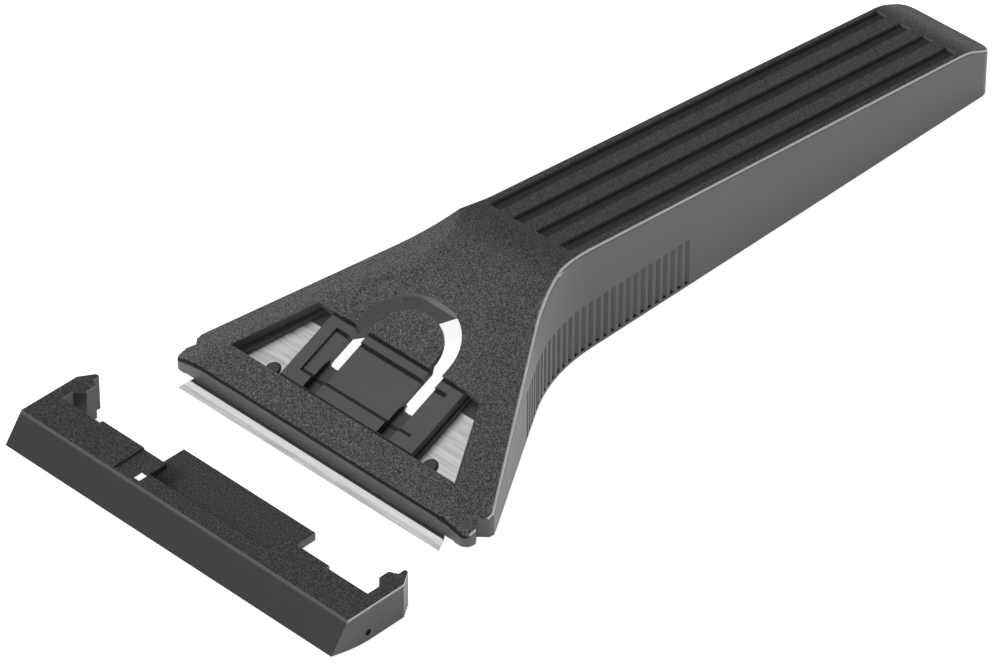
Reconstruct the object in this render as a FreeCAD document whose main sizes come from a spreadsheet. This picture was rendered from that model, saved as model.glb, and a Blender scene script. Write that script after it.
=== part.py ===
# Wide blade scraper: a one-piece moulded handle and head, a bare trapezoid blade under the head,
# and the blade guard taken off and lying in front of the cutting edge.
# Lengths are in millimetres and angles in degrees.
# X runs across the blade, +Y from the cutting edge to the end of the handle, +Z is up.
# Every piece is drawn with y = 0 at the head's front face, then moved to the middle of the whole set.
import FreeCAD
import Part
import math
import os
import Sketcher

DRIVING_SIZES = {
    # Handle and head, seen from the side
    "body_length": 154.2,
    "front_height": 4.05,
    "end_height": 10.9,
    "end_slope_length": 6.5,
    "end_slope_drop": 2.3,
    "end_slope_radius": 12.0,
    "head_slope_angle": 24.33,
    "handle_fall_angle": 5.44,
    "crease_radius": 32.0,
    "toe_rise": 1.0,
    "toe_length": 8.0,
    # Handle and head, seen from above
    "ear_half": 33.5,
    "ear_depth": 6.5,
    "ear_corner": 1.5,
    "notch_front": 2.3,
    "notch_middle": 3.9,
    "notch_back": 5.4,
    "notch_depth": 1.3,
    "neck_flare_angle": 32.0,
    "neck_radius": 35.0,
    "handle_end_half": 10.35,
    "handle_taper_angle": 0.38,
    "handle_corner": 2.7,
    "rim_radius": 0.7,
    "shoulder_width": 6.5,
    "shoulder_drop": 2.5,
    "shoulder_radius": 12.0,
    "inner_corner": 2.0,
    "inner_ear_corner": 0.4,
    # Walls of the open underside
    "plate_thickness": 2.6,
    "handle_skin": 2.2,
    "side_wall": 2.0,
    "ear_wall": 2.6,
    "end_wall": 2.2,
    "rib_count": 3.0,
    "rib_thickness": 1.4,
    "rib_first": 66.0,
    "rib_pitch": 28.0,
    "rib_foot": 1.0,
    # Grooves along the handle's top and flutes on its sides
    "groove_count": 4.0,
    "groove_pitch": 5.3,
    "groove_width": 2.5,
    "groove_depth": 0.6,
    "groove_length": 97.0,
    "groove_margin": 8.7,
    "flute_pitch": 1.8,
    "flute_width": 1.1,
    "flute_depth": 0.45,
    "flute_foot": 0.6,
    "flute_height": 9.7,
    "flute_handle_count": 14.0,
    "flute_neck_count": 11.0,
    "flute_head_count": 5.0,
    # Opening in the head and the web that crosses it
    "opening_front": 6.3,
    "opening_back": 20.45,
    "opening_front_half": 26.0,
    "opening_back_half": 18.4,
    "ledge_front_half": 24.4,
    "ledge_back_half": 17.5,
    "ledge_level": 2.0,
    "web_half": 15.0,
    "web_foot": 0.5,
    "web_level": 0.7,
    "pocket_half": 12.6,
    "pocket_front": 9.2,
    "pocket_back": 18.3,
    "pocket_level": 1.1,
    # Spring tongue in its arched slot
    "slot_half": 9.9,
    "slot_width": 2.9,
    "slot_end_radius": 1.35,
    "slot_front": 12.5,
    "slot_back": 30.9,
    "slot_arch": 8.8,
    "channel_front": 6.9,
    "channel_level": 1.9,
    "tongue_end_gap": 2.7,
    "tongue_arch": 6.8,
    "tongue_root": 8.0,
    "tongue_skin": 0.9,
    # Blade with its pegs, shelves and stops
    "edge_half": 30.0,
    "edge_reach": 3.9,
    "blade_back": 17.7,
    "blade_back_half": 20.0,
    "blade_thickness": 0.4,
    "blade_bevel": 1.5,
    "blade_notch_half": 11.5,
    "blade_notch_front": 12.9,
    "blade_hole": 3.0,
    "blade_clearance": 0.05,
    "peg_across": 18.0,
    "peg_back": 7.2,
    "peg_diameter": 2.4,
    "peg_rise": 0.35,
    "shelf_front": 2.0,
    "shelf_half": 16.0,
    "shelf_thickness": 1.2,
    "stop_half": 15.0,
    "stop_width": 3.2,
    # Blade guard
    "guard_half": 37.4,
    "guard_height": 6.7,
    "guard_depth": 18.6,
    "guard_tip": 1.6,
    "guard_ridge": 3.8,
    "guard_foot": 6.0,
    "guard_foot_radius": 25.0,
    "guard_plate_back": 11.0,
    "guard_step_half": 26.0,
    "guard_step": 0.6,
    "guard_chamfer_across": 1.7,
    "guard_chamfer_along": 2.7,
    "guard_gap": 15.0,
    "guard_floor": 1.2,
    "guard_roof": 1.5,
    "guard_mouth_front": 5.2,
    "guard_arm": 2.4,
    "hook_reach": 1.5,
    "hook_front": 12.9,
    "hook_back": 17.2,
    "sunk_half": 16.2,
    "sunk_depth": 0.4,
    "sunk_front": 4.3,
    "sunk_back": 7.2,
    "dip_left": 11.0,
    "tab_half": 15.1,
    "tab_top": 2.7,
    "tab_back": 18.5,
    "hole_across": 11.8,
    "hole_back": 4.6,
    "hole_width": 1.2,
    "hole_depth": 1.7,
    "hole_lean_across": 0.92,
    "hole_lean_back": 0.82,
    "dimple_back": 8.1,
    "dimple_level": 1.7,
    "dimple_diameter": 1.2,
    "dimple_depth": 0.4,
}
CLEAR = "2"

doc = FreeCAD.newDocument("scraper")
sizes = doc.addObject("Spreadsheet::Sheet", "Sizes")
for row, (name, value) in enumerate(DRIVING_SIZES.items(), start=1):
    sizes.set(f"A{row}", name)
    sizes.set(f"B{row}", str(value))
    sizes.setAlias(f"B{row}", name)
doc.recompute()


def tangent(angle_name):
    return f"tan(Sizes.{angle_name} * 1deg)"


def cosine(angle_name):
    return f"cos(Sizes.{angle_name} * 1deg)"


def outline(body, name, role, corners, level="0"):
    """Closed straight-sided sketch whose corners are pairs of expressions."""
    sketch = body.newObject("Sketcher::SketchObject", name)
    plane = next(item for item in body.Origin.OriginFeatures if item.Role == role)
    sketch.AttachmentSupport = (plane, [""])
    sketch.MapMode = "FlatFace"
    sketch.setExpression("AttachmentOffset.Base.z", level)
    count = len(corners)
    turn = 2 * math.pi / count
    ring = [FreeCAD.Vector(math.cos(turn * i), math.sin(turn * i), 0) for i in range(count)]
    for i in range(count):
        sketch.addGeometry(Part.LineSegment(ring[i], ring[(i + 1) % count]))
    for i in range(count):
        sketch.addConstraint(Sketcher.Constraint("Coincident", i, 2, (i + 1) % count, 1))
    for i, corner in enumerate(corners):
        for kind, place in zip(("DistanceX", "DistanceY"), corner):
            index = sketch.addConstraint(Sketcher.Constraint(kind, -1, 1, i, 1, 1.0))
            sketch.setExpression(f"Constraints[{index}]", place)
    return sketch


def pad(body, sketch, length, symmetric=False):
    feature = body.newObject("PartDesign::Pad", sketch.Name + "Pad")
    feature.Profile = sketch
    feature.setExpression("Length", length)
    if symmetric:
        feature.SideType = "Symmetric"
    return feature


def pocket(body, sketch, length, symmetric=False, reverse=False):
    feature = body.newObject("PartDesign::Pocket", sketch.Name + "Pocket")
    feature.Profile = sketch
    feature.setExpression("Length", length)
    feature.Reversed = reverse
    if symmetric:
        feature.SideType = "Symmetric"
    return feature


def round_corners(body, base, sketch, corners, radius):
    """Round the edges that rise from the given corners of the sketch."""
    doc.recompute()
    normal = sketch.Placement.Rotation.multVec(FreeCAD.Vector(0, 0, 1))
    places = [sketch.Placement.multVec(sketch.getPoint(i, 1)) for i in corners]
    names = []
    for number, edge in enumerate(base.Shape.Edges, start=1):
        ends = [vertex.Point for vertex in edge.Vertexes]
        if any(all((end - place).cross(normal).Length < 1e-4 for end in ends) for place in places):
            names.append(f"Edge{number}")
    return dress(body, "Fillet", base, names, radius)


def dress(body, kind, base, names, radius):
    feature = body.newObject("PartDesign::" + kind, base.Name + kind)
    feature.Base = (base, names)
    feature.setExpression("Radius" if kind == "Fillet" else "Size", radius)
    body.Tip = feature
    doc.recompute()
    return feature


def combine(kind, name, base, *tools):
    """Boolean of whole solids: Cut and Common take one tool, MultiFuse takes many."""
    feature = doc.addObject("Part::" + kind, name)
    if kind == "MultiFuse":
        feature.Shapes = [base, *tools]
    else:
        feature.Base = base
        feature.Tool = tools[0]
    doc.recompute()
    return feature


def boolean(body, kind, name, tools):
    """Step of a body that cuts other bodies away or keeps what they share."""
    feature = body.newObject("PartDesign::Boolean", name)
    feature.Type = kind
    feature.setObjects(tools)
    body.Tip = feature
    doc.recompute()
    return feature


def mirrored_right(corners):
    """The same corners on both sides of x = 0, as one closed outline."""
    left = [(f"-({across})", along) for across, along in reversed(corners)]
    return corners + left


# Handle and head, seen from the side
# The corners are numbered round the outline from 0, and round_corners is given those that it rounds

def side_corners(head_drop, handle_drop, front, back, foot, toe="0"):
    head_top = f"(Sizes.front_height - {head_drop})"
    handle_top = f"(Sizes.end_height - {handle_drop})"
    rise = tangent("head_slope_angle")
    fall = tangent("handle_fall_angle")
    left = f"(Sizes.body_length - {back})"
    crease = f"(({handle_top} + Sizes.body_length * {fall} - {head_top}) / ({rise} + {fall}))"
    return [
        (front, f"{foot} + {toe}"),
        (f"{front} + Sizes.toe_length", foot),
        (back, foot),
        (back, f"{handle_top} + {left} * {fall} - Sizes.end_slope_drop * (1 - {left} / Sizes.end_slope_length)"),
        ("Sizes.body_length - Sizes.end_slope_length", f"{handle_top} + Sizes.end_slope_length * {fall}"),
        (crease, f"{head_top} + {crease} * {rise}"),
        (front, f"{head_top} + {front} * {rise}"),
    ]


# Handle and head, seen from above

FLARE = tangent("neck_flare_angle")
TAPER = tangent("handle_taper_angle")


def flare_at_front(inset):
    """Half width that the flared side would have at y = 0."""
    edge = f"(Sizes.ear_half + Sizes.ear_depth * {FLARE})"
    return f"({edge} - {inset} / {cosine('neck_flare_angle')})"


def side_at_front(inset):
    return f"(Sizes.handle_end_half + Sizes.body_length * {TAPER} - {inset})"


def neck_corner(inset):
    along = f"(({flare_at_front(inset)} - {side_at_front(inset)}) / ({FLARE} - {TAPER}))"
    across = f"({side_at_front(inset)} - {along} * {TAPER})"
    return across, along


def plan_corners(inset, ear_half, front, back):
    ear_back = f"(({flare_at_front(inset)} - {ear_half}) / {FLARE})"
    return mirrored_right([
        (ear_half, front),
        (ear_half, ear_back),
        neck_corner(inset),
        (f"{side_at_front(inset)} - {back} * {TAPER}", back),
    ])


def scraper_block(name, side, plan, neck_radius, corner_radius, ear_radius):
    """Side view and plan view drawn out and kept where both agree."""
    plan_body = doc.addObject("PartDesign::Body", name + "Plan")
    plan_sketch = outline(plan_body, name + "PlanSketch", "XY_Plane", plan, level=f"-{CLEAR}")
    plan_pad = pad(plan_body, plan_sketch, "Sizes.body_length")
    necks = round_corners(plan_body, plan_pad, plan_sketch, [2, 5], neck_radius)
    ends = round_corners(plan_body, necks, plan_sketch, [3, 4], corner_radius)
    round_corners(plan_body, ends, plan_sketch, [0, 7], ear_radius)
    body = doc.addObject("PartDesign::Body", name)
    side_sketch = outline(body, name + "SideSketch", "YZ_Plane", side)
    side_pad = pad(body, side_sketch, f"(Sizes.ear_half + {CLEAR}) * 2", symmetric=True)
    creased = round_corners(body, side_pad, side_sketch, [5], "Sizes.crease_radius")
    round_corners(body, creased, side_sketch, [4], "Sizes.end_slope_radius")
    boolean(body, "Common", name + "Trim", [plan_body])
    return body


def rim_edges(shape):
    """Edges where the top faces end."""
    seen = {}
    for face in shape.Faces:
        u_low, u_high, v_low, v_high = face.ParameterRange
        middle = face.normalAt((u_low + u_high) / 2, (v_low + v_high) / 2)
        if middle.z < 0.5:
            continue
        for edge in face.Edges:
            seen.setdefault(edge.hashCode(), []).append(edge)
    lone = [group[0] for group in seen.values() if len(group) == 1]
    return [f"Edge{n}" for n, edge in enumerate(shape.Edges, start=1)
            if any(edge.isSame(other) for other in lone)]


# Pieces and cuts drawn square to the head's sloping top face

def head_body(name):
    """Body whose plane z = 0 is the head's top face, with y measured up the slope."""
    body = doc.addObject("PartDesign::Body", name)
    body.Placement = FreeCAD.Placement(FreeCAD.Vector(), FreeCAD.Rotation(FreeCAD.Vector(1, 0, 0), 1))
    body.setExpression("Placement.Rotation.Angle", "Sizes.head_slope_angle * 1deg")
    body.setExpression("Placement.Base.z", "Sizes.front_height")
    return body


def shoulder_cut(name, sign):
    """Space above one rounded shoulder of the head, which follows its flared side."""
    body = head_body(name)
    level = cosine("head_slope_angle")
    turn = f"atan({level} * {FLARE})"
    nearer = f"Sizes.shoulder_drop * sin(Sizes.head_slope_angle * 1deg) * {level} * {FLARE}"
    edge = f"(({flare_at_front('0')} - {nearer}) * cos({turn}))"
    start = f"{sign}({edge} - Sizes.shoulder_width)"
    inside = f"{sign}({edge} - Sizes.shoulder_width * 2)"
    outside = f"{sign}({edge} + Sizes.shoulder_width)"
    low = f"-Sizes.shoulder_drop * {level} * 2"
    corners = [(inside, "0"), (start, "0"), (outside, low), (outside, CLEAR), (inside, CLEAR)]
    sketch = outline(body, name + "Section", "XZ_Plane", corners)
    sketch.AttachmentOffset = FreeCAD.Placement(FreeCAD.Vector(), FreeCAD.Rotation(FreeCAD.Vector(0, 1, 0), 1))
    sketch.setExpression("AttachmentOffset.Rotation.Angle", f"{sign}({turn})")
    space = pad(body, sketch, "Sizes.body_length", symmetric=True)
    round_corners(body, space, sketch, [1], "Sizes.shoulder_radius")
    return body


def build_skin():
    """Outer form with the head's shoulders and its top edges rounded."""
    side = side_corners("0", "0", "0", "Sizes.body_length", "0", "Sizes.toe_rise")
    plan = plan_corners("0", "Sizes.ear_half", "0", "Sizes.body_length")
    skin = scraper_block("Skin", side, plan, "Sizes.neck_radius", "Sizes.handle_corner",
                         "Sizes.ear_corner")
    spaces = [shoulder_cut("RightShoulder", ""), shoulder_cut("LeftShoulder", "-")]
    shoulders = boolean(skin, "Cut", "Shoulders", spaces)
    dress(skin, "Fillet", shoulders, rim_edges(skin.Shape), "Sizes.rim_radius")
    return skin


def build_core():
    """Space under the plate and the handle, open at the front for the blade and open below."""
    front = f"-{CLEAR}"
    back = "(Sizes.body_length - Sizes.end_wall)"
    head_drop = f"Sizes.plate_thickness / {cosine('head_slope_angle')}"
    handle_drop = f"Sizes.handle_skin / {cosine('handle_fall_angle')}"
    side = side_corners(head_drop, handle_drop, front, back, f"-{CLEAR}")
    plan = plan_corners("Sizes.side_wall", "(Sizes.ear_half - Sizes.ear_wall)", front, back)
    return scraper_block("Core", side, plan, "Sizes.neck_radius + Sizes.side_wall",
                         "Sizes.inner_corner", "Sizes.inner_ear_corner")


def sunk(body, name, corners, depth):
    """Solid that cuts from above the head's top face down to the given depth."""
    sketch = outline(body, name, "XY_Plane", corners, level=f"-({depth})")
    return pad(body, sketch, f"{depth} + {CLEAR}")


def both_sides(corners):
    """Outlines on the right and, mirrored, on the left."""
    left = [(f"-({across})", along) for across, along in reversed(corners)]
    return {"Right": corners, "Left": left}


def build_head_cuts():
    """Opening with its recessed web, the windows beside the web and the channels beside the tongue."""
    body = head_body("HeadCuts")
    front, back = "Sizes.opening_front", "Sizes.opening_back"
    opening = [("Sizes.opening_front_half", front), ("Sizes.opening_back_half", back)]
    sunk(body, "Recess", mirrored_right(opening), "Sizes.web_level")
    smooth = [("Sizes.pocket_half", "Sizes.pocket_front"), ("Sizes.pocket_half", "Sizes.pocket_back")]
    sunk(body, "WebPocket", mirrored_right(smooth), "Sizes.pocket_level")
    window = [("Sizes.web_half", front), *opening, ("Sizes.web_half", back)]
    foot = "(Sizes.web_half + Sizes.web_foot)"
    lower = [(foot, front), ("Sizes.ledge_front_half", front), ("Sizes.ledge_back_half", back), (foot, back)]
    inner = "(Sizes.slot_half - Sizes.slot_width)"
    channel_back = "Sizes.slot_front + Sizes.slot_width / 2"
    channel = [
        (inner, "Sizes.channel_front"),
        ("Sizes.slot_half", "Sizes.channel_front"),
        ("Sizes.slot_half", channel_back),
        (inner, channel_back),
    ]
    for side, corners in both_sides(window).items():
        sunk(body, side + "Window", corners, "Sizes.ledge_level")
    for side, corners in both_sides(lower).items():
        sunk(body, side + "LowerWindow", corners, f"Sizes.plate_thickness + {CLEAR}")
    for side, corners in both_sides(channel).items():
        sunk(body, side + "Channel", corners, "Sizes.channel_level")
    return body


def build_tongue_slot():
    """Arched slot that frees the spring tongue on three sides."""
    body = head_body("TongueSlot")
    inner = "(Sizes.slot_half - Sizes.slot_width)"
    tip = "(Sizes.slot_back - Sizes.tongue_end_gap)"
    corners = [
        ("Sizes.slot_half", "Sizes.slot_front"),
        ("Sizes.slot_half", "Sizes.slot_back"),
        ("-Sizes.slot_half", "Sizes.slot_back"),
        ("-Sizes.slot_half", "Sizes.slot_front"),
        (f"-{inner}", "Sizes.slot_front"),
        (f"-{inner}", tip),
        (inner, tip),
        (inner, "Sizes.slot_front"),
    ]
    deep = f"(Sizes.plate_thickness + {CLEAR})"
    sketch = outline(body, "Slot", "XY_Plane", corners, level=f"-{deep}")
    band = pad(body, sketch, f"{deep} + {CLEAR}")
    arch = round_corners(body, band, sketch, [1, 2], "Sizes.slot_arch")
    tongue = round_corners(body, arch, sketch, [5, 6], "Sizes.tongue_arch")
    round_corners(body, tongue, sketch, [0, 3, 4, 7], "Sizes.slot_end_radius")
    return body


def build_under_tongue():
    """Space below the tongue, which follows its step and leaves it thin."""
    body = head_body("UnderTongue")
    low = "-(Sizes.pocket_level + Sizes.tongue_skin)"
    high = "-Sizes.tongue_skin"
    below = f"-(Sizes.plate_thickness + {CLEAR})"
    corners = [
        ("Sizes.tongue_root", below),
        ("Sizes.slot_back", below),
        ("Sizes.slot_back", high),
        ("Sizes.opening_back + Sizes.tongue_skin", high),
        ("Sizes.opening_back", low),
        ("Sizes.tongue_root", low),
    ]
    sketch = outline(body, "TongueSide", "YZ_Plane", corners)
    pad(body, sketch, "(Sizes.slot_half - Sizes.slot_width) * 2", symmetric=True)
    return body


def build_ear_notches():
    """Notches in the sides of the ears, where the guard's hooks catch."""
    body = doc.addObject("PartDesign::Body", "EarNotches")
    outside = f"Sizes.ear_half + {CLEAR}"
    notch = [
        (outside, "Sizes.notch_front"),
        ("Sizes.ear_half", "Sizes.notch_front"),
        ("Sizes.ear_half - Sizes.notch_depth", "Sizes.notch_middle"),
        ("Sizes.ear_half", "Sizes.notch_back"),
        (outside, "Sizes.notch_back"),
    ]
    for side, corners in both_sides(notch).items():
        sketch = outline(body, side + "Notch", "XY_Plane", corners, level=f"-{CLEAR}")
        pad(body, sketch, "Sizes.body_length")
    return body


def repeat(body, kind, original, axis, extent, count, name):
    feature = body.newObject("PartDesign::" + kind, name)
    feature.Originals = [original]
    if kind == "LinearPattern":
        feature.Direction = axis
        feature.setExpression("Length", extent)
    else:
        feature.Axis = axis
        feature.setExpression("Angle", extent)
    feature.setExpression("Occurrences", count)
    body.Tip = feature
    doc.recompute()
    return feature


def build_grooves():
    """Straight grooves side by side in the handle's top face."""
    body = doc.addObject("PartDesign::Body", "Grooves")
    body.Placement = FreeCAD.Placement(FreeCAD.Vector(), FreeCAD.Rotation(FreeCAD.Vector(-1, 0, 0), 1))
    body.setExpression("Placement.Rotation.Angle", "Sizes.handle_fall_angle * 1deg")
    body.setExpression("Placement.Base.y", "Sizes.body_length")
    body.setExpression("Placement.Base.z", "Sizes.end_height")
    span = "Sizes.groove_pitch * (Sizes.groove_count - 1)"
    left = f"-({span}) / 2 - Sizes.groove_width / 2"
    right = f"-({span}) / 2 + Sizes.groove_width / 2"
    near = "-(Sizes.groove_margin + Sizes.groove_length)"
    far = "-Sizes.groove_margin"
    corners = [(left, near), (right, near), (right, far), (left, far)]
    sketch = outline(body, "Groove", "XY_Plane", corners, level="-Sizes.groove_depth")
    groove = pad(body, sketch, f"Sizes.groove_depth + {CLEAR}")
    doc.recompute()
    repeat(body, "LinearPattern", groove, (sketch, ["H_Axis"]), span, "Sizes.groove_count", "GrooveRow")
    return body


def flute_body(name, angle_name):
    """Body turned about the centre of the neck's right arc, with one upright V flute on the arc."""
    body = doc.addObject("PartDesign::Body", name)
    body.Placement = FreeCAD.Placement(FreeCAD.Vector(), FreeCAD.Rotation(FreeCAD.Vector(0, 0, 1), 1))
    across, along = neck_corner("0")
    sine = "sin(Sizes.handle_taper_angle * 1deg)"
    even = cosine("handle_taper_angle")
    run = "Sizes.neck_radius * tan((Sizes.neck_flare_angle - Sizes.handle_taper_angle) / 2 * 1deg)"
    body.setExpression("Placement.Rotation.Angle", f"Sizes.{angle_name} * 1deg")
    body.setExpression("Placement.Base.x", f"{across} - {run} * {sine} + Sizes.neck_radius * {even}")
    body.setExpression("Placement.Base.y", f"{along} + {run} * {even} + Sizes.neck_radius * {sine}")
    bottom = "-(Sizes.neck_radius + Sizes.flute_depth)"
    outside = "-(Sizes.neck_radius - Sizes.flute_depth)"
    corners = [(bottom, "0"), (outside, "-Sizes.flute_width"), (outside, "Sizes.flute_width")]
    sketch = outline(body, name + "Section", "XY_Plane", corners, level="Sizes.flute_foot")
    flute = pad(body, sketch, "Sizes.flute_height - Sizes.flute_foot")
    doc.recompute()
    return body, sketch, flute


def build_flutes():
    """Flutes on the right side, along the handle, round the neck and on to the flared side."""
    handle, sketch, flute = flute_body("HandleFlutes", "handle_taper_angle")
    repeat(handle, "LinearPattern", flute, (sketch, ["V_Axis"]),
           "Sizes.flute_pitch * (Sizes.flute_handle_count - 1)", "Sizes.flute_handle_count", "HandleRow")
    turn = "Sizes.flute_pitch / Sizes.neck_radius * 180 / pi * 1deg"
    repeat(handle, "PolarPattern", flute, (sketch, ["N_Axis"]),
           f"{turn} * (Sizes.flute_neck_count - 1)", "Sizes.flute_neck_count", "NeckRow")
    head, sketch, flute = flute_body("HeadFlutes", "neck_flare_angle")
    row = repeat(head, "LinearPattern", flute, (sketch, ["V_Axis"]),
                 "Sizes.flute_pitch * (Sizes.flute_head_count - 1)", "Sizes.flute_head_count", "HeadRow")
    row.Reversed = True
    return combine("MultiFuse", "Flutes", handle, head)


def mirror_across(source, name):
    feature = doc.addObject("Part::Mirroring", name)
    feature.Source = source
    feature.Normal = FreeCAD.Vector(1, 0, 0)
    doc.recompute()
    return feature


def build_ribs():
    """Cross ribs in the handle's open underside."""
    body = doc.addObject("PartDesign::Body", "Ribs")
    near, far = "Sizes.rib_first", "Sizes.rib_first + Sizes.rib_thickness"
    corners = mirrored_right([("Sizes.ear_half", near), ("Sizes.ear_half", far)])
    sketch = outline(body, "Rib", "XY_Plane", corners, level="Sizes.rib_foot")
    rib = pad(body, sketch, "Sizes.body_length")
    doc.recompute()
    repeat(body, "LinearPattern", rib, (sketch, ["V_Axis"]),
           "Sizes.rib_pitch * (Sizes.rib_count - 1)", "Sizes.rib_count", "RibRow")
    return body


BLADE_TOP = "(Sizes.plate_thickness + Sizes.blade_clearance)"
BLADE_UNDER = f"({BLADE_TOP} + Sizes.blade_thickness)"
SHELF_TOP = f"({BLADE_UNDER} + Sizes.blade_clearance)"


def build_blade_seat():
    """Shelves that carry the ends of the blade and stops behind it."""
    body = head_body("BladeSeat")
    stop = "(Sizes.blade_back + Sizes.blade_clearance)"
    behind = f"({stop} + Sizes.stop_width)"
    shelf = [
        ("Sizes.shelf_half", "Sizes.shelf_front"),
        ("Sizes.ear_half", "Sizes.shelf_front"),
        ("Sizes.ear_half", behind),
        ("Sizes.shelf_half", behind),
    ]
    wall = [("Sizes.stop_half", stop), ("Sizes.ear_half", stop), ("Sizes.ear_half", behind),
            ("Sizes.stop_half", behind)]
    for side, corners in both_sides(shelf).items():
        sketch = outline(body, side + "Shelf", "XY_Plane", corners,
                         level=f"-({SHELF_TOP} + Sizes.shelf_thickness)")
        pad(body, sketch, "Sizes.shelf_thickness")
    for side, corners in both_sides(wall).items():
        sketch = outline(body, side + "Stop", "XY_Plane", corners, level=f"-{SHELF_TOP}")
        pad(body, sketch, f"{SHELF_TOP} - Sizes.plate_thickness / 2")
    return body


def round_sketch(body, name, across, along, diameter, level, role="XY_Plane"):
    sketch = body.newObject("Sketcher::SketchObject", name)
    plane = next(item for item in body.Origin.OriginFeatures if item.Role == role)
    sketch.AttachmentSupport = (plane, [""])
    sketch.MapMode = "FlatFace"
    sketch.setExpression("AttachmentOffset.Base.z", level)
    sketch.addGeometry(Part.Circle(FreeCAD.Vector(1, 1, 0), FreeCAD.Vector(0, 0, 1), 1))
    dimensions = [
        (Sketcher.Constraint("DistanceX", -1, 1, 0, 3, 1.0), across),
        (Sketcher.Constraint("DistanceY", -1, 1, 0, 3, 1.0), along),
        (Sketcher.Constraint("Diameter", 0, 2.0), diameter),
    ]
    for constraint, size in dimensions:
        index = sketch.addConstraint(constraint)
        sketch.setExpression(f"Constraints[{index}]", size)
    return sketch


def build_pegs():
    """Pegs that rise from the shelves through the blade's holes."""
    body = head_body("Pegs")
    for side, sign in (("Right", ""), ("Left", "-")):
        sketch = round_sketch(body, side + "Peg", f"{sign}Sizes.peg_across", "Sizes.peg_back",
                              "Sizes.peg_diameter", f"-({SHELF_TOP} + Sizes.shelf_thickness / 2)")
        pad(body, sketch, f"{SHELF_TOP} + Sizes.shelf_thickness / 2 - Sizes.plate_thickness + Sizes.peg_rise")
    return body


def build_handle():
    shell = combine("Cut", "Shell", build_skin(), core)
    flutes = build_flutes()
    cuts = combine("MultiFuse", "Cuts", build_head_cuts(), build_tongue_slot(), build_under_tongue(),
                   build_ear_notches(), build_grooves(), flutes, mirror_across(flutes, "LeftFlutes"))
    opened = combine("Cut", "OpenShell", shell, cuts)
    fittings = combine("MultiFuse", "Fittings", build_ribs(), build_blade_seat())
    fitted = combine("Common", "FittingsInside", fittings, core)
    return combine("MultiFuse", "Handle", opened, fitted, build_pegs())


def build_blade():
    """Trapezoid blade, sharpened from below, with two holes and a notch in its back."""
    body = head_body("Blade")
    reach = "-Sizes.edge_reach"
    corners = mirrored_right([
        ("Sizes.edge_half", reach),
        ("Sizes.blade_back_half", "Sizes.blade_back"),
        ("Sizes.blade_notch_half", "Sizes.blade_back"),
        ("Sizes.blade_notch_half", "Sizes.blade_notch_front"),
    ])
    sketch = outline(body, "BladePlan", "XY_Plane", corners, level=f"-{BLADE_UNDER}")
    pad(body, sketch, "Sizes.blade_thickness")
    for side, sign in (("Right", ""), ("Left", "-")):
        hole = round_sketch(body, side + "Hole", f"{sign}Sizes.peg_across", "Sizes.peg_back",
                            "Sizes.blade_hole", f"-{BLADE_TOP}")
        pocket(body, hole, "Sizes.blade_thickness")
    wedge = [
        (reach, f"-{BLADE_UNDER}"),
        (f"{reach} + Sizes.blade_bevel", f"-{BLADE_UNDER}"),
        (reach, f"-{BLADE_TOP}"),
    ]
    bevel = outline(body, "Bevel", "YZ_Plane", wedge)
    pocket(body, bevel, "Sizes.edge_half * 2", symmetric=True)
    return body


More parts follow.
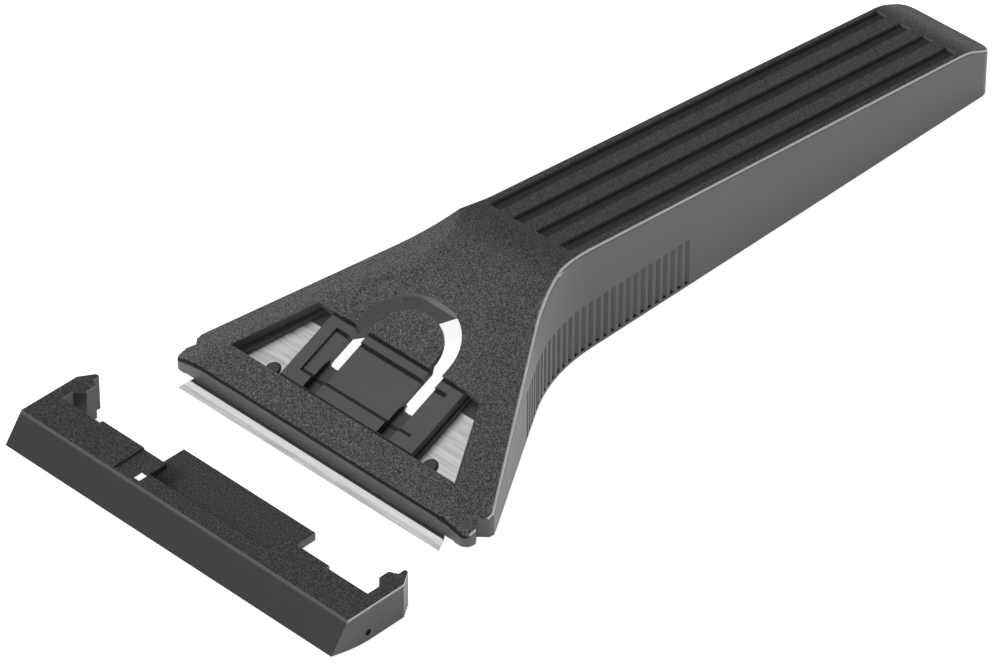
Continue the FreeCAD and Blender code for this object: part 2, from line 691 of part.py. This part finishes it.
def build_guard():
    """Blade guard: a channel with an inclined front, two hooked arms and a low tab at its middle."""
    body = doc.addObject("PartDesign::Body", "Guard")
    height, depth = "Sizes.guard_height", "Sizes.guard_depth"
    section = [
        ("0", "Sizes.guard_tip"),
        ("Sizes.guard_foot", "0"),
        (depth, "0"),
        (depth, height),
        ("Sizes.guard_ridge", height),
    ]
    profile = outline(body, "GuardSection", "YZ_Plane", section)
    bar = pad(body, profile, "Sizes.guard_half * 2", symmetric=True)
    round_corners(body, bar, profile, [1], "Sizes.guard_foot_radius")
    inner, past = "(Sizes.guard_half - Sizes.guard_arm)", f"({depth} + {CLEAR})"
    between = mirrored_right([
        ("Sizes.guard_step_half", "Sizes.guard_plate_back"),
        ("Sizes.guard_step_half", "Sizes.guard_plate_back - Sizes.guard_step"),
        (inner, "Sizes.guard_plate_back - Sizes.guard_step"),
        (inner, past),
    ])
    sketch = outline(body, "BetweenArms", "XY_Plane", between, level=f"{height} + {CLEAR}")
    pocket(body, sketch, f"{height} + {CLEAR} * 2")
    roof = f"({height} - Sizes.guard_roof)"
    mouth = [
        ("Sizes.guard_mouth_front", "Sizes.guard_floor"),
        (past, "Sizes.guard_floor"),
        (past, roof),
        ("Sizes.guard_mouth_front", roof),
    ]
    pocket(body, outline(body, "Mouth", "YZ_Plane", mouth), f"{inner} * 2", symmetric=True)
    sunk_level = f"({height} - Sizes.sunk_depth)"
    above = f"({height} + {CLEAR})"
    middle = [("Sizes.sunk_front", sunk_level), (past, sunk_level), (past, above), ("Sizes.sunk_front", above)]
    pocket(body, outline(body, "SunkMiddle", "YZ_Plane", middle), "Sizes.sunk_half * 2", symmetric=True)
    dip = [
        ("-Sizes.dip_left", "Sizes.sunk_back"),
        ("Sizes.sunk_half", "Sizes.sunk_back"),
        ("Sizes.sunk_half", past),
        ("-Sizes.dip_left", past),
    ]
    pocket(body, outline(body, "Dip", "XY_Plane", dip, level=above), f"{above} - Sizes.tab_top")
    tab = mirrored_right([
        ("Sizes.sunk_half", "Sizes.guard_foot"),
        ("Sizes.sunk_half", "Sizes.guard_plate_back"),
        ("Sizes.tab_half", "Sizes.guard_plate_back"),
        ("Sizes.tab_half", "Sizes.tab_back"),
    ])
    pad(body, outline(body, "Tab", "XY_Plane", tab, level="Sizes.guard_floor"),
        "Sizes.tab_top - Sizes.guard_floor")
    hook = [
        (inner, "Sizes.hook_front"),
        (inner, "Sizes.hook_back"),
        (f"{inner} - Sizes.hook_reach", "Sizes.hook_back - Sizes.hook_reach / 2"),
        (f"{inner} - Sizes.hook_reach", "Sizes.hook_front + Sizes.hook_reach"),
    ]
    corner = [
        ("Sizes.guard_half - Sizes.guard_chamfer_across", past),
        ("Sizes.guard_half - Sizes.guard_chamfer_across", depth),
        ("Sizes.guard_half", f"{depth} - Sizes.guard_chamfer_along"),
        (f"Sizes.guard_half + {CLEAR}", f"{depth} - Sizes.guard_chamfer_along"),
        (f"Sizes.guard_half + {CLEAR}", past),
    ]
    for side, corners in both_sides(hook).items():
        pad(body, outline(body, side + "Hook", "XY_Plane", corners), height)
    for side, corners in both_sides(corner).items():
        sketch = outline(body, side + "Corner", "XY_Plane", corners, level=height)
        pocket(body, sketch, height)
    slot = [
        ("-Sizes.hole_across", "Sizes.hole_back"),
        ("-Sizes.hole_across + Sizes.hole_width", "Sizes.hole_back"),
        ("-Sizes.hole_across + Sizes.hole_width", "Sizes.hole_back + Sizes.hole_depth"),
        ("-Sizes.hole_across", "Sizes.hole_back + Sizes.hole_depth"),
    ]
    drain = pocket(body, outline(body, "DrainHole", "XY_Plane", slot, level=height), f"{height} * {CLEAR}")
    drain.UseCustomVector = True
    drain.setExpression("Direction.x", "-Sizes.hole_lean_across")
    drain.setExpression("Direction.y", "Sizes.hole_lean_back")
    drain.Direction.z = -1
    dimple = round_sketch(body, "Dimple", "Sizes.dimple_back", "Sizes.dimple_level",
                          "Sizes.dimple_diameter", "Sizes.guard_half", "YZ_Plane")
    pocket(body, dimple, "Sizes.dimple_depth")
    return body


GUARD_REACH = "(Sizes.guard_gap + Sizes.guard_depth)"
MIDDLE = f"(({GUARD_REACH} - Sizes.body_length) / 2)"

core = build_core()
pieces = {
    "scraper_handle": (build_handle(), MIDDLE),
    "blade": (build_blade(), MIDDLE),
    "blade_guard": (build_guard(), f"{MIDDLE} - {GUARD_REACH}"),
}
for label, (piece, along) in pieces.items():
    piece.Label = label
    piece.setExpression("Placement.Base.y", along)
doc.recompute()

for item in doc.Objects:
    broken = [word for word in item.State if word in ("Invalid", "Error")]
    if broken:
        raise RuntimeError(f"{item.Name} is {broken}")
os.makedirs("parts", exist_ok=True)
for label, (piece, along) in pieces.items():
    if piece.Shape.isNull() or not piece.Shape.isValid():
        raise RuntimeError(f"{label} has no valid shape")
for label, (piece, along) in pieces.items():
    piece.Shape.exportStep(f"parts/{label}.step")
    print(label, round(piece.Shape.Volume, 1), len(piece.Shape.Solids), piece.Shape.BoundBox)
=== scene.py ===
"""Studio picture of a moulded plastic hand scraper, its steel blade and its loose blade guard."""
import math

import bpy
from mathutils import Matrix, Vector


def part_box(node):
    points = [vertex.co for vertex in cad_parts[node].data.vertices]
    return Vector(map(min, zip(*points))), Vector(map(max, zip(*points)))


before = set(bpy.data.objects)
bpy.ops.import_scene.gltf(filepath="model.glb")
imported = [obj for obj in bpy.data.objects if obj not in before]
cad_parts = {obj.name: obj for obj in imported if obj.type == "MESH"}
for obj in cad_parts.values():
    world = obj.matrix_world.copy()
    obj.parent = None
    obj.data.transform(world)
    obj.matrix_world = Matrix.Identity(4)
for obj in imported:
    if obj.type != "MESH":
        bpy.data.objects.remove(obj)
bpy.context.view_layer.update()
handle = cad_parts["scraper_handle"]
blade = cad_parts["blade"]
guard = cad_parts["blade_guard"]

MM = 0.001
FRONT_Y, END_Y = (corner.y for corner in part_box("scraper_handle"))
GUARD_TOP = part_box("blade_guard")[1].z
BLADE_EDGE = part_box("blade")[0].y

# The head's top slopes up from this height at its front, and the handle's top falls to its own end height
HEAD_SLOPE = math.radians(24.33)
FRONT_HEIGHT = 4.05 * MM
HANDLE_FALL = math.radians(-5.44)
END_HEIGHT = 10.9 * MM

# Places on the head are measured up its slope from the front, half widths out from its middle, and depths
# down from its top. A pair of depths is where a zone starts and where it is full.

# The opening, with its half width at the front, how fast it narrows, the ledges round its windows, which get
# painted shade, and how far out the windows' walls with painted light start
OPENING_FRONT, OPENING_BACK = 6.2 * MM, 20.55 * MM
OPENING_HALF, OPENING_TAPER = 26.3 * MM, 0.537
SUNK_DEPTH = 0.35 * MM
LEDGE_DEPTHS = 1.5 * MM, 1.8 * MM
WALLS_FROM = 13.0 * MM

# The corners of the web and its pocket, where dark lines of painted shade are drawn
WEB_CORNERS, WEB_HALF = (6.5 * MM, 20.25 * MM), 15.0 * MM
POCKET_CORNERS, POCKET_HALF = (9.35 * MM, 18.15 * MM), 12.6 * MM
LINE_HALF = 0.35 * MM

# The arched slot round the tongue, in the plate behind the opening
SLOT_BACK, SLOT_HALF = 31.5 * MM, 10.4 * MM
SLOT_DEPTHS = 0.1 * MM, 0.6 * MM

# The grooves in the handle, measured back from its end, out from its middle and down from its top
GROOVES_FAR, GROOVES_NEAR = 8.6 * MM, 105.8 * MM
GROOVES_HALF = 9.6 * MM
GROOVE_DEPTHS = 0.1 * MM, 0.4 * MM
GROOVE_WALL = 0.9 * MM

# The crease between the head's and the handle's tops
CREASE_START, CREASE_END = -24.0 * MM, -12.0 * MM

# How much of its dark colour (painted shade) or pale colour (painted light) a zone takes
HANDLE_DARK, SLOT_DARK = 0.5, 0.8
WALL_PALE = 0.2
GUARD_PALE, GUARD_END_PALE = 0.09, 0.5

# Directions of faces, as parts of their normals: where a zone starts and where it is full
GRAINED_UP = 0.66, 0.76
FLOORS_UP = 0.5, 0.7
SIDE_RIM_OUT = (0.45, 0.55), (0.84, 0.92)
SIDE_RIM_UP = 0.35, 0.45
SIDE_RIM_BACK = -0.35, -0.2
FRONT_RIM_FORWARD = -0.6, -0.45
FRONT_RIM_UP = (0.05, 0.3), (0.8, 0.88)
GUARD_TOP_UP = 0.9, 0.95
GUARD_STEEP_UP = 0.85, 0.95

# The guard's edge below its top, with a painted highlight, and its two ends: the place across times the
# normal across, in metres
GUARD_EDGE = GUARD_TOP - 0.6 * MM, GUARD_TOP - 0.25 * MM
GUARD_ENDS = 0.01, 0.025

# The blade: the end of its bevel, measured from the edge, and the line of painted shade where it enters the
# head
BEVEL_END = BLADE_EDGE + 0.7 * MM, BLADE_EDGE + 1.1 * MM
ENTRY_LINE = 0.6 * MM


# Shader helpers

def node(tree, kind, **settings):
    made = tree.nodes.new(kind)
    for name, value in settings.items():
        setattr(made, name, value)
    return made


def fill(made, values):
    """Set inputs to numbers, or link them to other sockets."""
    for name, value in values.items():
        socket = made.inputs[name]
        if isinstance(value, bpy.types.NodeSocket):
            made.id_data.links.new(value, socket)
        else:
            socket.default_value = value
    return made


def math_node(tree, operation, *values, clamp=False):
    made = node(tree, "ShaderNodeMath", operation=operation, use_clamp=clamp)
    fill(made, dict(enumerate(values)))
    return made.outputs[0]


def both(tree, first, second):
    return math_node(tree, "MULTIPLY", first, second)


def either(tree, first, second):
    return math_node(tree, "MAXIMUM", first, second)


def added(tree, first, second):
    return math_node(tree, "ADD", first, second, clamp=True)


def outside(tree, mask):
    return math_node(tree, "SUBTRACT", 1.0, mask)


def between(tree, value, low, high):
    """1 from low to high and 0 outside."""
    middle, half = (low + high) / 2, (high - low) / 2
    return math_node(tree, "COMPARE", value, middle, half)


def ramp(tree, value, low, high, start=0.0, end=1.0):
    """Soft step from start to end as the value goes from low to high."""
    made = node(tree, "ShaderNodeMapRange", interpolation_type="SMOOTHSTEP")
    fill(made, {"Value": value, "From Min": low, "From Max": high, "To Min": start, "To Max": end})
    return made.outputs["Result"]


def band(tree, value, rise, fall):
    """1 between a soft step up and a soft step down."""
    return both(tree, ramp(tree, value, *rise), ramp(tree, value, *fall, 1.0, 0.0))


def dot(tree, first, second):
    made = node(tree, "ShaderNodeVectorMath", operation="DOT_PRODUCT")
    return fill(made, {0: first, 1: second}).outputs["Value"]


def split(tree, vector):
    return fill(node(tree, "ShaderNodeSeparateXYZ"), {0: vector}).outputs


def object_place(tree):
    return node(tree, "ShaderNodeTexCoord").outputs["Object"]


def face_normal(tree):
    return split(tree, node(tree, "ShaderNodeNewGeometry").outputs["Normal"])


def share_of(tree, share, first, second):
    """That share of the first value, and the rest of the second."""
    rest = math_node(tree, "MULTIPLY", second, 1.0 - share)
    return math_node(tree, "MULTIPLY_ADD", first, share, rest)


def blend_color(tree, factor, first, second, kind="MIX"):
    made = node(tree, "ShaderNodeMix", data_type="RGBA", blend_type=kind)
    fill(made, {0: factor, 6: first, 7: second})
    return made.outputs[2]


def noise(tree, place, scale, detail, roughness, distortion=0.0):
    made = node(tree, "ShaderNodeTexNoise")
    fill(made, {"Vector": place, "Scale": scale, "Detail": detail, "Roughness": roughness,
                "Distortion": distortion})
    return made.outputs["Fac"]


def ripple(tree, height, strength, distance):
    made = node(tree, "ShaderNodeBump")
    return fill(made, {"Strength": strength, "Distance": distance, "Height": height}).outputs["Normal"]


def grey(value, blue=1.0):
    return value, value, value * blue, 1


# Effects that both plastics share

def new_group(name, inputs, outputs):
    group = bpy.data.node_groups.new(name, "ShaderNodeTree")
    for title, kind, value in inputs:
        socket = group.interface.new_socket(title, in_out="INPUT", socket_type="NodeSocket" + kind)
        socket.default_value = value
    for title, kind in outputs:
        group.interface.new_socket(title, in_out="OUTPUT", socket_type="NodeSocket" + kind)
    return group, node(group, "NodeGroupInput").outputs, node(group, "NodeGroupOutput")


def build_grain_group():
    """Spark-eroded mould grain: pits and peaks, with lighter crests."""
    group, given, result = new_group(
        "Mould grain",
        [("Grain size", "Float", 0.3 * MM), ("Area", "Float", 1.0), ("Plain", "Color", grey(0.07)),
         ("Pits", "Color", grey(0.02)), ("Crests", "Color", grey(0.1))],
        [("Color", "Color"), ("Roughness", "Float"), ("Height", "Float")])
    place = object_place(group)
    scale = math_node(group, "DIVIDE", 1.0, given["Grain size"])
    coarse = noise(group, place, scale, detail=3.0, roughness=0.62)
    fine_scale = math_node(group, "MULTIPLY", scale, 2.6)
    fine = noise(group, place, fine_scale, detail=2.0, roughness=0.5)
    crests = ramp(group, share_of(group, 0.7, coarse, fine), 0.36, 0.64)
    speckled = blend_color(group, crests, given["Pits"], given["Crests"])
    satin = math_node(group, "MULTIPLY_ADD", given["Area"], 0.14, 0.4)
    wobble = math_node(group, "MULTIPLY_ADD", fine, 0.12, -0.06)
    fill(result, {"Color": blend_color(group, given["Area"], given["Plain"], speckled),
                  "Roughness": math_node(group, "ADD", satin, wobble),
                  "Height": both(group, crests, given["Area"])})
    return group


def build_wear_group():
    """Faint handling marks: soft clouds and a few fine scuffs that lighten and smooth the skin."""
    group, given, result = new_group(
        "Handling marks", [("Amount", "Float", 0.5), ("Color", "Color", grey(0.05))],
        [("Color", "Color"), ("Shine", "Float")])
    place = object_place(group)
    clouds = ramp(group, noise(group, place, 60.0, detail=4.0, roughness=0.6), 0.4, 0.75)
    scratches = noise(group, place, 900.0, detail=5.0, roughness=0.7, distortion=1.5)
    scuffs = ramp(group, scratches, 0.58, 0.72, 0.25, 0.75)
    amount = both(group, both(group, clouds, scuffs), given["Amount"])
    paler = blend_color(group, 1.0, given["Color"], grey(0.03), "ADD")
    fill(result, {"Color": blend_color(group, amount, given["Color"], paler),
                  "Shine": math_node(group, "MULTIPLY", amount, -0.12)})
    return group


GRAIN = build_grain_group()
WEAR = build_wear_group()


def use_group(tree, group, values):
    return fill(node(tree, "ShaderNodeGroup", node_tree=group), values).outputs


# Zones of the two plastic pieces

def depth_below(tree, place, front_y, front_height, slope):
    """Distance below a sloping plane, in metres."""
    normal = (0.0, -math.sin(slope), math.cos(slope))
    level = front_y * normal[1] + front_height * normal[2]
    return math_node(tree, "SUBTRACT", level, dot(tree, place, normal))


def up_head(tree, place):
    """Distance up the head's slope from its front, in metres."""
    direction = (0.0, math.cos(HEAD_SLOPE), math.sin(HEAD_SLOPE))
    start = FRONT_Y * direction[1] + FRONT_HEIGHT * direction[2]
    return math_node(tree, "SUBTRACT", dot(tree, place, direction), start)


def corner_lines(tree, along, places, aside, half):
    """Fine dark lines across the head: painted shade in the corners of a step."""
    lines = [between(tree, along, place - LINE_HALF, place + LINE_HALF) for place in places]
    return both(tree, either(tree, *lines), math_node(tree, "LESS_THAN", aside, half))


def front_rim(tree):
    """Rounded rim between the head's top and its front face, which is darkened with painted shade."""
    normal = face_normal(tree)
    forward = ramp(tree, normal["Y"], *FRONT_RIM_FORWARD, 1.0, 0.0)
    return both(tree, forward, band(tree, normal["Z"], *FRONT_RIM_UP))


def side_rim(tree):
    """Rounded rims between the top and the sides, but not the front, where a highlight is painted on the
    plastic.
    """
    normal = face_normal(tree)
    outward = band(tree, math_node(tree, "ABSOLUTE", normal["X"]), *SIDE_RIM_OUT)
    not_front = ramp(tree, normal["Y"], *SIDE_RIM_BACK)
    return both(tree, both(tree, outward, not_front), ramp(tree, normal["Z"], *SIDE_RIM_UP))


def handle_zones(tree):
    """Grained tops, smooth opening, painted shade on groove floors, slot, ledges, corners, front rim and
    handle top, duller gloss in corners and on the front rim, and painted light on walls and side rims.
    """
    place = object_place(tree)
    parts = split(tree, place)
    aside, backward = math_node(tree, "ABSOLUTE", parts["X"]), parts["Y"]
    upward = face_normal(tree)["Z"]
    floors = ramp(tree, upward, *FLOORS_UP)

    # The opening in the head, and the painted shade in its corners
    along = up_head(tree, place)
    head_depth = depth_below(tree, place, FRONT_Y, FRONT_HEIGHT, HEAD_SLOPE)
    narrowed = math_node(tree, "MULTIPLY_ADD", along, OPENING_TAPER, aside)
    opened = both(tree, between(tree, along, OPENING_FRONT, OPENING_BACK),
                  math_node(tree, "LESS_THAN", narrowed, OPENING_HALF + OPENING_FRONT * OPENING_TAPER))
    sunk = both(tree, opened, math_node(tree, "GREATER_THAN", head_depth, SUNK_DEPTH))
    # Painted shade: dark lines in the corners of the steps inside the opening
    lines = either(tree, corner_lines(tree, along, WEB_CORNERS, aside, WEB_HALF),
                   corner_lines(tree, along, POCKET_CORNERS, aside, POCKET_HALF))
    corner_shade = both(tree, lines, sunk)
    # Painted shade: the deep ledges round the windows are darkened, together with the corner lines
    ledge = either(tree, both(tree, opened, ramp(tree, head_depth, *LEDGE_DEPTHS)), corner_shade)
    beside_web = both(tree, opened, math_node(tree, "GREATER_THAN", aside, WALLS_FROM))

    # The slot behind it, and the grooves in the handle
    slotted = both(tree, between(tree, along, OPENING_BACK, SLOT_BACK),
                   math_node(tree, "LESS_THAN", aside, SLOT_HALF))
    # Painted shade: the slot is darkened where it goes deeper
    slot = both(tree, slotted, ramp(tree, head_depth, *SLOT_DEPTHS, 0.0, SLOT_DARK))
    handle_depth = depth_below(tree, place, END_Y, END_HEIGHT, HANDLE_FALL)
    grooved = both(tree, between(tree, backward, END_Y - GROOVES_NEAR, END_Y - GROOVES_FAR),
                   math_node(tree, "LESS_THAN", aside, GROOVES_HALF))
    # Painted shade: the groove floors are darkened
    groove = both(tree, grooved, ramp(tree, handle_depth, *GROOVE_DEPTHS))
    groove_walls = both(tree, grooved, between(tree, handle_depth, 0.0, GROOVE_WALL))

    # Painted shade: the handle's whole top is made a little darker than the head's, which faces the light
    # more
    handle_top = ramp(tree, backward, CREASE_START, CREASE_END, 0.0, HANDLE_DARK)
    dark_floors = both(tree, added(tree, handle_top, math_node(tree, "ADD", ledge, groove)), floors)
    rim = front_rim(tree)
    # Painted light: steep walls in the grooves and beside the web are made paler
    walls = both(tree, added(tree, groove_walls, beside_web), ramp(tree, floors, 0.0, 1.0, WALL_PALE, 0.0))
    return {
        "grained": both(tree, ramp(tree, upward, *GRAINED_UP), outside(tree, added(tree, sunk, groove))),
        "dark": either(tree, either(tree, dark_floors, slot), rim),
        "dull": either(tree, corner_shade, rim),
        # Painted highlight on the side rims, away from the slot, and painted light on the walls
        "pale": added(tree, both(tree, side_rim(tree), outside(tree, slotted)), walls),
    }


def guard_zones(tree):
    """Grained on top, with painted highlights on the edges round the top, brightest on the two ends."""
    place, normal = split(tree, object_place(tree)), face_normal(tree)
    outward = ramp(tree, both(tree, place["X"], normal["X"]), *GUARD_ENDS, GUARD_PALE, GUARD_END_PALE)
    steep = ramp(tree, normal["Z"], *GUARD_STEEP_UP, 1.0, 0.0)
    edge = both(tree, ramp(tree, place["Z"], *GUARD_EDGE), steep)
    return {"grained": ramp(tree, normal["Z"], *GUARD_TOP_UP), "pale": both(tree, edge, outward)}


# Finishes

# Dark colour for painted shade, and pale colour for painted light and painted highlights, on the plastic
PAINTED_SHADE, PAINTED_LIGHT = grey(0.022), grey(0.85)
SATIN_GLOSS, DULL_GLOSS = 0.5, 0.1
STEEL_DARK, STEEL_LIGHT, STEEL_BARE = (0.35, 0.35, 0.36, 1), (0.52, 0.52, 0.53, 1), grey(0.75)
STEEL_PAINTED_SHADE, BARE_SHARE = grey(0.03), 0.45


def new_material(name):
    material = bpy.data.materials.new(name)
    material.use_nodes = True
    tree = material.node_tree
    surface = next(item for item in tree.nodes if item.type == "BSDF_PRINCIPLED")
    return material, tree, surface


def moulded_plastic(name, zones_of, plain, pits, crests, bump):
    """Black moulded plastic, grained, with painted shade in its dark zones, a duller gloss in its dull zones,
    painted light and highlights in its pale zones, and satin elsewhere.
    """
    material, tree, surface = new_material(name)
    zones = zones_of(tree)
    grain = use_group(tree, GRAIN, {"Area": zones["grained"], "Plain": plain, "Pits": pits, "Crests": crests})
    color, gloss = grain["Color"], SATIN_GLOSS
    # Painted shade: the dark zones take the dark colour
    if "dark" in zones:
        color = blend_color(tree, zones["dark"], color, PAINTED_SHADE)
    if "dull" in zones:
        gloss = ramp(tree, zones["dull"], 0.0, 1.0, SATIN_GLOSS, DULL_GLOSS)
    wear = use_group(tree, WEAR, {"Color": color})
    fill(surface, {"Base Color": blend_color(tree, zones["pale"], wear["Color"], PAINTED_LIGHT),
                   "Roughness": math_node(tree, "ADD", grain["Roughness"], wear["Shine"]),
                   "Normal": ripple(tree, grain["Height"], bump, 0.2 * MM),
                   "Specular IOR Level": gloss})
    return material


def ground_steel():
    """Blade steel, streaked along the edge, brighter behind its bevel, with painted shade where it enters the
    head.
    """
    material, tree, surface = new_material("Ground blade steel")
    place = object_place(tree)
    stretched = fill(node(tree, "ShaderNodeMapping"), {"Vector": place, "Scale": (0.05, 1.0, 1.0)})
    streaks = noise(tree, stretched.outputs["Vector"], 2600.0, detail=3.0, roughness=0.6)
    clouds = noise(tree, place, 90.0, detail=3.0, roughness=0.6)
    tone = ramp(tree, share_of(tree, 0.75, streaks, clouds), 0.35, 0.65)
    backward = split(tree, place)["Y"]
    bare = both(tree, ramp(tree, backward, *BEVEL_END, 0.0, BARE_SHARE),
                math_node(tree, "LESS_THAN", backward, FRONT_Y))
    # Painted shade: a dark line on the steel just in front of the head's face
    entry = between(tree, backward, FRONT_Y - ENTRY_LINE, FRONT_Y)
    color = blend_color(tree, bare, blend_color(tree, tone, STEEL_DARK, STEEL_LIGHT), STEEL_BARE)
    fill(surface, {"Base Color": blend_color(tree, entry, color, STEEL_PAINTED_SHADE),
                   "Roughness": math_node(tree, "MULTIPLY_ADD", streaks, 0.2, 0.24),
                   "Metallic": 1.0,
                   "Normal": ripple(tree, streaks, 0.25, 0.05 * MM)})
    return material


def dress_node(item, material):
    item.data.materials.clear()
    item.data.materials.append(material)


dress_node(handle, moulded_plastic("Grained black plastic", handle_zones, plain=grey(0.066, 1.03),
                                   pits=grey(0.02), crests=(0.31, 0.29, 0.295, 1), bump=1.0))
dress_node(guard, moulded_plastic("Black guard plastic", guard_zones, plain=grey(0.035, 0.96),
                                  pits=grey(0.012, 0.96), crests=grey(0.16, 0.96), bump=0.9))
dress_node(blade, ground_steel())


# Floor, light and camera

def build_floor():
    """Pale floor, a hair below the part's underside."""
    reach, drop = 3.0, 0.1 * MM
    mesh = bpy.data.meshes.new("studio_floor")
    corners = [(-reach, -reach, 0), (reach, -reach, 0), (reach, reach, 0), (-reach, reach, 0)]
    mesh.from_pydata(corners, [], [(0, 1, 2, 3)])
    floor = bpy.data.objects.new("studio_floor", mesh)
    bpy.context.scene.collection.objects.link(floor)
    floor.location.z = -drop
    material, tree, surface = new_material("Pale floor")
    fill(surface, {"Base Color": grey(0.93), "Roughness": 0.9,
                   "Emission Color": grey(1.0), "Emission Strength": 0.9})
    mesh.materials.append(material)


def build_key_light():
    """Soft round lamp in front of the scraper, high up on the left."""
    place, size, power = Vector((-0.2, -0.7, 0.7)), 0.3, 2.5
    light = bpy.data.lights.new("key", "AREA")
    light.shape = "DISK"
    light.size = size
    light.energy = power
    lamp = bpy.data.objects.new("key", light)
    lamp.location = place
    lamp.rotation_euler = (-place).to_track_quat("-Z", "Y").to_euler()
    bpy.context.scene.collection.objects.link(lamp)


def build_world():
    """White studio that is brightest high up on the left and dim low down behind."""
    brightest, dim, bright, bright_from = Vector((-0.55, -0.08, 0.83)).normalized(), 0.16, 1.25, 0.66
    world = bpy.data.worlds.new("White studio")
    world.use_nodes = True
    tree = world.node_tree
    facing = dot(tree, node(tree, "ShaderNodeTexCoord").outputs["Generated"], tuple(brightest))
    fill(tree.nodes["Background"], {"Color": grey(1.0),
                                    "Strength": ramp(tree, facing, bright_from, 1.0, dim, bright)})
    bpy.context.scene.world = world


def build_camera():
    """Long lens above the scraper's right front, as the photograph was taken."""
    azimuth, elevation, roll = math.radians(44.13), math.radians(37.69), math.radians(0.19)
    focal_px, image_width = 6297.0, 1000.0
    across, up, away = 29.45, 20.57, 1013.8
    right = Vector((math.cos(azimuth), math.sin(azimuth), 0.0))
    back = Vector((math.sin(azimuth) * math.cos(elevation), -math.cos(azimuth) * math.cos(elevation),
                   math.sin(elevation)))
    above = back.cross(right)
    turned_right = math.cos(roll) * right + math.sin(roll) * above
    turned_up = math.cos(roll) * above - math.sin(roll) * right
    place = (across * turned_right + up * turned_up + away * back) * MM
    place.y += FRONT_Y
    data = bpy.data.cameras.new("view")
    data.sensor_width = 36.0
    data.lens = focal_px * data.sensor_width / image_width
    data.clip_start = 0.05
    camera = bpy.data.objects.new("view", data)
    turn = Matrix((turned_right, turned_up, back)).transposed().to_4x4()
    camera.matrix_world = Matrix.Translation(place) @ turn
    bpy.context.scene.collection.objects.link(camera)
    bpy.context.scene.camera = camera


build_floor()
build_world()
build_key_light()
build_camera()
bpy.context.scene.view_settings.view_transform = "Standard"
